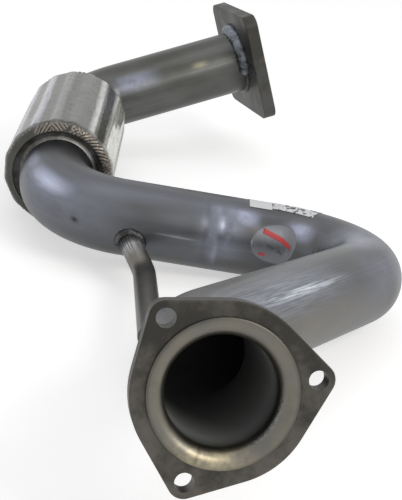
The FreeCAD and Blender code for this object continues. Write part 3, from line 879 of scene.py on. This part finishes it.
def make_side_tube(material):
    """Its end runs on a little past the solid's, to lie hidden behind the inlet flange.

    A ring with no station follows the main tube's wall.
    """
    bore = SIDE_RADIUS - SIDE_WALL
    begin = SIDE_LEAD - SIDE_SUNK
    finish = side.length + SIDE_EXTRA
    rings = [(None, SIDE_RADIUS)]
    rings += [(station, SIDE_RADIUS) for station in spaced(begin, finish - EDGE, 0.002)]
    rings += [(finish, SIDE_RADIUS - EDGE), (finish, bore + EDGE)]
    rings += [(station, bore) for station in spaced(finish - EDGE, begin, 0.005)]
    rings += [(None, bore)]
    points = []
    values = {"flow": [], "heat": [], "scuff_and_painted_highlight": [], "dull_and_painted_shade": [], "blot_and_painted_shade": [], "soot": []}
    for station, radius in rings:
        for number in range(SIDE_SEGMENTS):
            angle = TURN * number / SIDE_SEGMENTS
            here = wall_station(angle, radius, PIPE_BORE) if station is None else station
            points.append(side.point(here, angle, radius))
            values["flow"].append((radius * math.cos(angle), radius * math.sin(angle), here))
            values["heat"].append(banded(SIDE_HEAT, here))
            values["scuff_and_painted_highlight"].append(banded(SIDE_SCUFF, here))
            values["dull_and_painted_shade"].append(banded(SIDE_DULL, here))
            # Painted shade on the side tube's far part
            values["blot_and_painted_shade"].append(SIDE_FAR_SHADE * clipped((here - SIDE_SHADE_FROM) / SIDE_SHADE_OVER))
            values["soot"].append(1.0 if radius <= bore and here < finish - 0.01 else 0.0)
    faces = loop_faces(len(rings), SIDE_SEGMENTS)
    piece = mesh_object("side_branch", points, faces, material, values)
    return hand_in(piece, "branch", "side_tube")


# Welds

# Middle and half extent of the outlet weld's thick stretch, how far its ends taper, and where
# it is painted lit most brightly, in degrees round the tube
OUTLET_PASS = (-50, 66)
OUTLET_TAPER = 9
OUTLET_PAINTED_LIT = (-80, 55)

# A bead's leg where it is thin, and what a thick stretch adds, as shares of the solid's leg,
# and its centre's distance from the corner, half width and height as shares of its own leg
BEAD_THIN = 0.6
BEAD_THICK = 1.1
BEAD_OUT = 0.30
BEAD_WIDTH = 0.50
BEAD_HEIGHT = 0.74

# The bead round the side tube's root, painted mostly in shade
SIDE_BEAD_OUT = 0.0008
SIDE_BEAD_UP = 0.0006
SIDE_BEAD_WIDTH = 0.0021
SIDE_BEAD_HEIGHT = 0.0027
SIDE_BEAD_PAINTED_LIT = 0.1


def bead(name, steps, material, sides=14):
    """Closed bead round a loop of steps, each with its centre, outward direction, half width
    and height of its oval section, and how brightly it is painted lit.
    """
    points = []
    lit_marks = []
    for number, (centre, outward, width, height, painted_light) in enumerate(steps):
        ahead = (steps[(number + 1) % len(steps)][0] - steps[number - 1][0]).normalized()
        out = (outward - outward.dot(ahead) * ahead).normalized()
        up = ahead.cross(out)
        for side_number in range(sides):
            angle = TURN * side_number / sides
            reach = out * (width * math.cos(angle))
            points.append(centre + reach + up * (height * math.sin(angle)))
            lit_marks.append(painted_light)
    faces = loop_faces(len(steps), sides, inward=True)
    return mesh_object(name, points, faces, material, {"painted_light": lit_marks})


def ripple(number, count, ripples, seed):
    """Size of a bead at one step: overlapped puddles, slightly uneven."""
    phase = (number * ripples / count) % 1.0
    puddle = 0.95 + 0.09 * math.sin(math.pi * phase) ** 0.7
    return puddle * (1 + 0.10 * noise.noise(Vector((number * 0.13, seed, 0.0))))


def thin_throughout(angle):
    """For a weld with no thick stretch."""
    return 0.0


def outlet_pass(angle):
    """1 along the stretch of the outlet's weld that is laid thick."""
    return clipped((OUTLET_PASS[1] - abs(clock(angle, OUTLET_PASS[0]))) / OUTLET_TAPER)


def painted_lit_share(angle):
    """How brightly a thick stretch is painted lit: most round one middle angle."""
    return 0.45 + 0.55 * nearness(clock(angle, OUTLET_PAINTED_LIT[0]), 0, OUTLET_PAINTED_LIT[1])


def make_tube_weld(name, node, place, toward, material, seed, thick=thin_throughout, ripples=62):
    """Bead in the corner between the main tube and a plate; thick is 0 to 1 by angle."""
    count = 420
    steps = []
    for number in range(count):
        angle = TURN * number / count
        leg = WELD_LEG * (BEAD_THIN + BEAD_THICK * thick(angle))
        swell = ripple(number, count, ripples, seed)
        spot = Vector((math.cos(angle), math.sin(angle), 0)) * (PIPE_RADIUS + BEAD_OUT * leg)
        centre = place @ (spot + Vector((0, 0, toward * BEAD_OUT * leg)))
        outward = place.to_3x3() @ Vector((math.cos(angle), math.sin(angle), toward))
        steps.append((centre, outward, BEAD_WIDTH * leg * swell, BEAD_HEIGHT * leg * swell,
                      thick(angle) * painted_lit_share(angle)))
    return hand_in(bead(name, steps, material), "weld", node)


def make_side_weld(material):
    """Bead round the side tube's root, where it comes out of the main tube."""
    count = 160
    radius = SIDE_RADIUS + SIDE_BEAD_OUT
    steps = []
    for number in range(count):
        angle = TURN * number / count
        station = wall_station(angle, radius, PIPE_RADIUS + SIDE_BEAD_UP)
        outward = side.at(station).to_3x3() @ Vector((math.cos(angle), math.sin(angle), 0.6))
        swell = ripple(number, count, 18, 5.0)
        steps.append((side.point(station, angle, radius), outward,
                      SIDE_BEAD_WIDTH * swell, SIDE_BEAD_HEIGHT * swell, SIDE_BEAD_PAINTED_LIT))
    return hand_in(bead("branch_weld", steps, material), "weld", "side_tube_weld")


# Flexible coupling

# How bright a painted highlight each pleat's crest gets, round the sleeve from the first one past
# +X, and the flank that is painted almost as bright: its middle and reach in degrees
CREST_PAINTED_SHINE = (0.3, 0.2, 0.35, 0.3, 0.4, 0.3, 0.35, 0.3, 0.6, 0.7, 0.2, 0.05, 0.75, 1.0, 0.8)
PAINTED_FLANK = (334, 24)
FLANK_PAINTED_SHINE = 0.92
SHINE_FROM = 0.002
SHINE_OVER = 0.008
# Painted shade on the rims, and how much less of it there is where the strands show
RIM_SHADE = 0.75
RIM_SHADE_BARED = 0.55
SLEEVE_RIGHT = 278
RIM_HEAT = ((0.0, 0.024, 1.0),)
PLEAT_STRAY = math.radians(7)
PLEAT_SHIFT = math.radians(2)
SEGMENTS_A_PLEAT = 20


def pleat_phase(angle, station):
    """Turn in pleats: whole at each crest. The pleats are a little uneven round the sleeve."""
    stray = PLEAT_SHIFT + PLEAT_STRAY * math.cos(angle - math.radians(200))
    stray += 0.03 * noise.noise(Vector((math.cos(angle) * 2, math.sin(angle) * 2, station * 9)))
    return (angle - stray) * PLEAT_COUNT / TURN - 0.5


# Where the sheath is rubbed back to its strands: middle and reach in degrees round a rim, and
# the ways that the strands which show there run
BARED = ((246, 15, (1,)), (262, 15, (-1,)), (286, 12, (1, -1)), (318, 36, (1,)),
         (350, 26, (-1,)), (40, 30, (1,)), (90, 24, (1, -1)))


def bared(turn, way=None):
    """1 where the strands of a way show at a rim, easing to 0 where they sink into the sheath."""
    return max(clipped(2 * nearness(clock(turn, middle), 0, reach))
               for middle, reach, ways in BARED if way is None or way in ways)


def rolled(middle, roll, step):
    """Rings of the front rim's quarter round, from its edge to the sleeve's wall."""
    turns = [math.radians(degrees) for degrees in range(0, 91, step)]
    return [(middle - roll * math.cos(turn), RIM_EDGE + roll * math.sin(turn)) for turn in turns]


def at_rear_end(rings):
    """The same rings at the coupling's other end."""
    return [(FLEX_LENGTH - station, radius) for station, radius in rings]


def make_braid(material):
    """Pleated sleeve with its ends rolled in; it replaces the plainer solid."""
    def shape(station, angle, radius):
        """Pleats: rounded crests with broad hollows between them, drifting a little."""
        if radius < RIM_EDGE + ROLL_INSIDE + 0.0001:
            return 0.0
        share = (radius - RIM_EDGE) / ROLL_OUTSIDE
        crown = abs(math.cos(math.pi * pleat_phase(angle, station)))
        hollow = PLEAT_DEPTH * (1 - crown ** 3.0)
        dimple = 0.00018 * noise.noise(Vector((angle * 9, station * 160, 3.0)))
        return share * share * (-hollow + dimple)

    def crest(station, angle, radius):
        """1 on a crest; the flank on the sleeve's right gets a painted highlight almost as bright.
        """
        brightness = clipped(2 * nearness(clock(angle, PAINTED_FLANK[0]), 0, PAINTED_FLANK[1]))
        crown = abs(math.cos(math.pi * pleat_phase(angle, station)))
        return max(crown, FLANK_PAINTED_SHINE * brightness)

    def painted_shine(station, angle, radius):
        """How bright each crest's painted highlight is; it differs from crest to crest and fades at
        the rims.
        """
        number = round(pleat_phase(angle, station)) % PLEAT_COUNT
        depth = min(station, FLEX_LENGTH - station)
        return CREST_PAINTED_SHINE[number] * clipped((depth - SHINE_FROM) / SHINE_OVER)

    def shade(station, angle, radius):
        """Painted shade on the rims, which lie in the sleeve's own shade; less of it where the
        strands show.
        """
        darkness = RIM_SHADE - RIM_SHADE_BARED * bared(angle)
        return darkness * clipped((DRUM_RADIUS - 0.001 - radius) / 0.003)

    def right(station, angle, radius):
        """Which painted reflection a crest gets: 0 for the bluish one on the sleeve's left, 1 for
        the pale yellow one on its right.
        """
        return 0.5 + 0.5 * math.sin(angle - math.radians(SLEEVE_RIGHT))

    front_roll = rolled(ROLL_OUTSIDE, ROLL_OUTSIDE, 6)
    inner_front = rolled(RIM_ROLL, ROLL_INSIDE, 15)
    body = [(station, DRUM_RADIUS)
            for station in spaced(ROLL_OUTSIDE, FLEX_LENGTH - ROLL_OUTSIDE, 0.003)[1:-1]]
    back = [(station, RIM_EDGE + ROLL_INSIDE)
            for station in spaced(FLEX_LENGTH - RIM_ROLL, RIM_ROLL, 0.012)[1:-1]]
    rings = front_roll + body + at_rear_end(reversed(front_roll))
    rings += at_rear_end(inner_front) + back + inner_front[::-1]
    marks = {"heat": band_mark(RIM_HEAT), "crest": crest, "painted_shine": painted_shine, "shade": shade,
             "side": right}
    segments = PLEAT_COUNT * SEGMENTS_A_PLEAT
    piece = swept("braid_sleeve", drum, rings, material, marks, shape, segments)
    return hand_in(piece, "braid", "outer_braid")


# Strands each way round a rim, their width and half thickness, how far a covered one lies
# under the sheath, and the stretch that they cover of the rim's quarter round
STRANDS = 72
STRAND_WIDTH = 0.0026
STRAND_HALF = 0.00019
STRAND_SINK = 0.0007
STRAND_START = 0.0006
STRAND_END = 0.62 * (ROLL_OUTSIDE * math.pi / 2)
STRAND_STEPS = 12
STRAND_SECTION = ((-1, 0), (-0.5, 1), (0.5, 1), (1, 0), (0, -1))


def on_rim(run, turn, lift, at_rear):
    """Point at a run along a rim's quarter round, lifted off it."""
    angle = run / ROLL_OUTSIDE
    radius = RIM_EDGE + (ROLL_OUTSIDE + lift) * math.sin(angle)
    station = ROLL_OUTSIDE - (ROLL_OUTSIDE + lift) * math.cos(angle)
    return drum.point(FLEX_LENGTH - station if at_rear else station, turn, radius)


def strand_faces(base, flip):
    """Quads along one strand from its first point, and its two end caps."""
    faces = []
    ring = len(STRAND_SECTION)
    for number in range(STRAND_STEPS):
        for corner in range(ring):
            a = base + number * ring + corner
            b = base + number * ring + (corner + 1) % ring
            quad = (a, b, b + ring, a + ring)
            faces.append(quad if flip else quad[::-1])
    first_cap = tuple(base + corner for corner in range(ring))
    last_cap = tuple(base + STRAND_STEPS * ring + corner for corner in range(ring))
    faces.append(first_cap[::-1] if flip else first_cap)
    faces.append(last_cap if flip else last_cap[::-1])
    return faces


def make_strands(material):
    """Woven wire strands that show where the braid is rolled in at each rim."""
    points = []
    faces = []
    tones = []
    picker = random.Random(11)
    for at_rear, way in ((False, 1), (False, -1), (True, 1), (True, -1)):
        round_to = math.pi if at_rear else 0.0
        for strand in range(STRANDS):
            first = TURN * (strand + (0.25 if way > 0 else 0.0)) / STRANDS
            tone = picker.random()
            faces += strand_faces(len(points), (way > 0) == at_rear)
            for number in range(STRAND_STEPS + 1):
                run = STRAND_START + (STRAND_END - STRAND_START) * number / STRAND_STEPS
                lean = way * run / DRUM_RADIUS
                turn = first + lean
                crossing = math.cos(STRANDS * (turn + lean) / 2) * way
                sunk = STRAND_SINK * (1 - bared(turn + round_to, way))
                lift = STRAND_HALF * (0.9 + 1.1 * crossing) - sunk
                taper = min(1.0, 0.3 + number / 2, 0.3 + (STRAND_STEPS - number) / 2)
                half = STRAND_WIDTH / 2 * taper
                for offset, rise in STRAND_SECTION:
                    side_turn = turn + offset * half * 0.72 / DRUM_RADIUS
                    side_run = max(0.0, run - way * offset * half * 0.72)
                    points.append(on_rim(side_run, side_turn, lift + rise * STRAND_HALF, at_rear))
                    tones.append(tone)
    piece = mesh_object("rim_strands", points, faces, material, {"tone": tones})
    return hand_in(piece, "braid")


# Labels, with no lettering

FILM = 0.00012
FILM_LIFT = 0.0002


def patch(name, stations, middles, width, material, lift=FILM_LIFT, rounding=0.0):
    """Thin film on the front tube between two stations, along a line of angles in degrees.

    middles are the line's angles at the two stations, and width is across it, in degrees.
    """
    across = 20
    length = 26
    surface = front_shape(bend_shape(front))
    points = []
    flow = []
    for layer in (lift, lift + FILM):
        for row in range(length + 1):
            share = row / length
            station = stations[0] + (stations[1] - stations[0]) * share
            middle = middles[0] + (middles[1] - middles[0]) * share
            squeeze = 1 - rounding * (1 - math.sqrt(max(0.0, 1 - (2 * share - 1) ** 2)))
            for column in range(across + 1):
                angle = math.radians(middle + width * (column / across - 0.5) * squeeze)
                radius = PIPE_RADIUS + surface(station, angle, PIPE_RADIUS) + layer
                points.append(front.point(station, angle, radius))
                flow.append((radius * math.cos(angle), radius * math.sin(angle), station))
    faces = []
    row_points = across + 1
    top = row_points * (length + 1)
    for row in range(length):
        for column in range(across):
            a = row * row_points + column
            b = a + row_points
            faces.append((a, b, b + 1, a + 1))
            faces.append((a + top, a + 1 + top, b + 1 + top, b + top))
    rim = list(range(across + 1))
    rim += [row * row_points + across for row in range(1, length + 1)]
    rim += [length * row_points + column for column in range(across - 1, -1, -1)]
    rim += [row * row_points for row in range(length - 1, 0, -1)]
    for number, point in enumerate(rim):
        beside = rim[(number + 1) % len(rim)]
        faces.append((point, beside, beside + top, point + top))
    return hand_in(mesh_object(name, points, faces, material, {"flow": flow}), "pipe")


def make_labels():
    """Torn paper label over the tube's top, and a clear oval film with plain bars."""
    blank = paper("label_paper", 0.9)
    patch("label_blank", (0.475, 0.493), (288, 288), 60, blank)
    patch("label_smudged", (0.437, 0.475), (287, 290), 56, paper("smudged_paper", 0.53))
    film = foil("clear_film", CLEAR_FILM, 0.9)
    patch("film_oval", (0.443, 0.489), (204, 200), 62, film, rounding=1.0)
    red = foil("red_ink", RED_INK, 0.2)
    grey = foil("grey_ink", GREY_INK, 0.3)
    over = FILM_LIFT + 2 * FILM
    patch("bar_red", (0.4515, 0.4805), (201, 219), 8, red, over)
    patch("bar_grey_left", (0.470, 0.4765), (195, 199), 5, grey, over)
    patch("bar_grey_right", (0.4615, 0.468), (189, 193), 5, grey, over)
    patch("bar_red_short", (0.4765, 0.4815), (184, 185), 4, red, over)


# Floor, backdrop and world

def make_stage():
    """Pale floor and white world; only the camera and reflections see the floor's glow."""
    half = FLOOR_HALF
    mesh = bpy.data.meshes.new("floor")
    mesh.from_pydata([(-half, -half, 0), (half, -half, 0), (half, half, 0), (-half, half, 0)],
                     [], [(0, 1, 2, 3)])
    floor = bpy.data.objects.new("floor", mesh)
    bpy.context.scene.collection.objects.link(floor)
    paint = Paint("floor_white")
    path = paint.add("LightPath", {})
    seen = paint.math("MAXIMUM", path.outputs["Is Camera Ray"], path.outputs["Is Glossy Ray"])
    seen = paint.math("MAXIMUM", seen, path.outputs["Is Transmission Ray"])
    settings = {"Base Color": rgb(FLOOR_GREY, FLOOR_GREY, FLOOR_GREY), "Roughness": 0.9,
                "Specular IOR Level": 0.0, "Emission Color": rgb(1, 1, 1),
                "Emission Strength": paint.math("MULTIPLY", seen, FLOOR_GLOW)}
    for socket, value in settings.items():
        paint.feed(paint.shader.inputs[socket], value)
    mesh.materials.append(paint.material)

    world = bpy.data.worlds.new("studio")
    bpy.context.scene.world = world
    world.use_nodes = True
    nodes = world.node_tree.nodes
    links = world.node_tree.links
    path = nodes.new("ShaderNodeLightPath")
    seen = path.outputs["Is Camera Ray"]
    for ray in ("Is Transmission Ray", "Is Glossy Ray"):
        either = nodes.new("ShaderNodeMath")
        either.operation = "MAXIMUM"
        links.new(seen, either.inputs[0])
        links.new(path.outputs[ray], either.inputs[1])
        seen = either.outputs[0]
    level = nodes.new("ShaderNodeMapRange")
    links.new(seen, level.inputs["Value"])
    level.inputs["To Min"].default_value = WORLD_LIGHT
    level.inputs["To Max"].default_value = WORLD_SEEN
    background = nodes["Background"]
    background.inputs["Color"].default_value = rgb(1, 1, 1)
    links.new(level.outputs["Result"], background.inputs["Strength"])


bpy.context.scene.view_settings.view_transform = "Standard"
make_camera()
make_stage()
for lamp in LAMPS:
    softbox(*lamp)

steel = tube_steel("tube_steel", rgb(0.084, 0.085, 0.085), rgb(0.128, 0.133, 0.146),
                   rgb(0.115, 0.108, 0.092))
tail_steel = tube_steel("tail_steel", rgb(0.080, 0.081, 0.073), rgb(0.125, 0.128, 0.122),
                        rgb(0.105, 0.092, 0.072))
branch_steel = tube_steel("branch_steel", rgb(0.115, 0.107, 0.095), rgb(0.22, 0.21, 0.195),
                          rgb(0.15, 0.125, 0.095))
inlet_plate = plate_steel("inlet_plate_steel", rgb(0.045, 0.043, 0.038),
                          rgb(0.115, 0.108, 0.096))
outlet_plate = plate_steel("outlet_plate_steel", rgb(0.055, 0.054, 0.048),
                           rgb(0.095, 0.095, 0.092))
bead_metal = weld_metal("bead_metal")
cup_steel = formed_steel("cup_steel", rgb(0.17, 0.16, 0.14), rgb(0.36, 0.36, 0.36))

make_front_pipe(steel)
make_rear_pipe(tail_steel)
make_side_tube(branch_steel)
make_side_weld(bead_metal)
make_tube_weld("inlet_weld", "front_flange_weld", moved(inlet, z=FRONT_PLATE), 1, bead_metal, 1.0)
make_tube_weld("outlet_weld", "rear_flange_weld", outlet_back, -1, bead_metal, 2.0,
               outlet_pass, 40)
make_braid(braid_sheet("braid_sheet"))
make_strands(strand_metal("strand_metal"))
make_labels()

# The solids whose shape is right stay, with a better finish
finishes = {"front_flange": inlet_plate, "rear_flange": outlet_plate}
for node in ("front_cup", "rear_cup", "front_cup_weld", "rear_cup_weld", "bellows", "inner_liner"):
    finishes[node] = cup_steel
for node, finish in finishes.items():
    materials = frame["nodes"][node].data.materials
    materials.clear()
    materials.append(finish)
